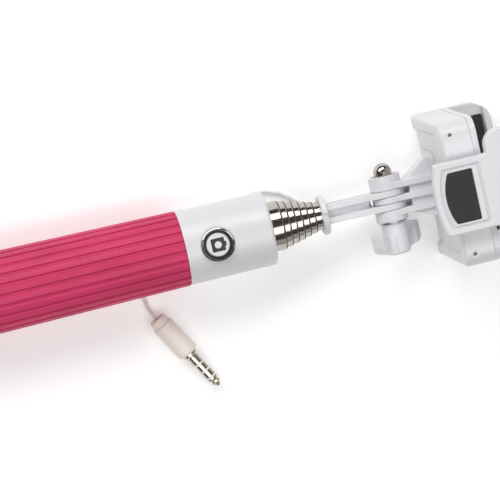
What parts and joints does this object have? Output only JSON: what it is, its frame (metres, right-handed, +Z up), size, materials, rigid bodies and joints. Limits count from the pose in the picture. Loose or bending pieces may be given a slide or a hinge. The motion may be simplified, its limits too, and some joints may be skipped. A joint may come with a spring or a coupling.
{
  "type": "selfie stick",
  "caption": "Telescopic selfie stick: ribbed grip, collar with a round shutter button, nested chrome tubes, tilting head with a wing screw, sprung phone clamp and a wired jack plug.",
  "frame": {"origin": "on the surface the stick lies on, under the middle of the object without its cord", "axes": "+X along the stick towards the clamp, +Y along the head's hinge towards the cap nut, +Z up"},
  "size_m": [0.2328, 0.0686, 0.051],
  "materials": {
    "grip_pink": "satin",
    "white_plastic": "semi-gloss",
    "chrome": "polished",
    "aluminium": "satin",
    "steel": "satin",
    "nylon": "matte",
    "black_rubber": "matte",
    "black_print": "matte",
    "switch_stem": "matte",
    "circuit_board": "satin",
    "cord_white": "satin",
    "plug_plastic": "satin",
    "jack_metal": "polished",
    "insulator": "gloss"
  },
  "bodies": {
    "handle": {"grip_sleeve": "grip_pink", "handle_liner": "aluminium", "end_cap": "white_plastic", "end_plug": "nylon", "end_cap_screw": "steel", "collar_shell": "white_plastic", "root_bush_rear": "nylon", "root_bush_front": "nylon", "button_bezel": "chrome", "button_gasket": "black_rubber", "switch_board": "circuit_board", "switch_body": "black_print", "tube_1": "chrome", "inner_lead": "cord_white"},
    "button": {"button_cap": "white_plastic", "button_symbol": "black_print", "switch_plunger": "switch_stem"},
    "tube_2": {"tube_2": "chrome", "tail_bush_2": "nylon"},
    "tube_3": {"tube_3": "chrome", "tail_bush_3": "nylon"},
    "tube_4": {"tube_4": "chrome", "tail_bush_4": "nylon"},
    "tube_5": {"tube_5": "chrome", "tail_bush_5": "nylon"},
    "tube_6": {"tube_6": "chrome", "tail_bush_6": "nylon"},
    "tip": {"tube_7": "chrome", "tail_bush_7": "nylon", "fork_end": "white_plastic", "fork_pin": "steel", "cord_grommet": "white_plastic", "cord": "cord_white", "plug_body": "plug_plastic", "jack_sleeve": "jack_metal", "jack_ring_two": "jack_metal", "jack_ring_one": "jack_metal", "jack_tip": "jack_metal", "jack_insulators": "insulator"},
    "head": {"head_bracket": "white_plastic", "bracket_screws": "steel", "cap_nut": "chrome", "clamp_body": "white_plastic", "clamp_posts": "white_plastic", "clamp_cover": "white_plastic", "cover_screws": "steel", "cover_pads": "black_rubber", "lower_pad": "black_rubber", "spring_anchor": "steel"},
    "washer": {"knob_washer": "steel"},
    "knob": {"wing_knob": "white_plastic", "hinge_screw": "steel"},
    "jaw": {"upper_jaw": "white_plastic", "upper_pad": "black_rubber", "jaw_inlay": "black_rubber", "guide_rods": "steel", "jaw_springs": "steel"}
  },
  "joints": [
    {"name": "extend_2", "type": "slide", "parent": "handle", "child": "tube_2", "axis": [1, 0, 0], "range_m": [0, 0.125]},
    {"name": "extend_3", "type": "slide", "parent": "tube_2", "child": "tube_3", "axis": [1, 0, 0], "range_m": [0, 0.125]},
    {"name": "extend_4", "type": "slide", "parent": "tube_3", "child": "tube_4", "axis": [1, 0, 0], "range_m": [0, 0.125]},
    {"name": "extend_5", "type": "slide", "parent": "tube_4", "child": "tube_5", "axis": [1, 0, 0], "range_m": [0, 0.125]},
    {"name": "extend_6", "type": "slide", "parent": "tube_5", "child": "tube_6", "axis": [1, 0, 0], "range_m": [0, 0.125]},
    {"name": "extend_7", "type": "slide", "parent": "tube_6", "child": "tip", "axis": [1, 0, 0], "range_m": [0, 0.125]},
    {"name": "button_press", "type": "slide", "parent": "handle", "child": "button", "axis": [0, 0, -1], "range_m": [0, 0.0003], "stiffness_N_per_m": 1500, "springref_m": -0.0005},
    {"name": "head_tilt", "type": "hinge", "parent": "tip", "child": "head", "pos_m": [0.07785, 0, 0.014], "axis": [0, 1, 0], "range_deg": [-80, 90]},
    {"name": "knob_feed", "type": "slide", "parent": "head", "child": "washer", "axis": [0, -1, 0], "range_m": [0, 0.0014]},
    {"name": "knob_turn", "type": "hinge", "parent": "washer", "child": "knob", "pos_m": [0.07785, 0, 0.014], "axis": [0, -1, 0], "range_deg": [0, 720]},
    {"name": "jaw_slide", "type": "slide", "parent": "head", "child": "jaw", "axis": [0, 0, 1], "range_m": [0, 0.032], "stiffness_N_per_m": 250, "springref_m": -0.02, "deforming": ["jaw_springs"]}
  ],
  "couplings": [
    {"joint": "knob_turn", "follows": "knob_feed", "rad_per_m": 8976}
  ]
}
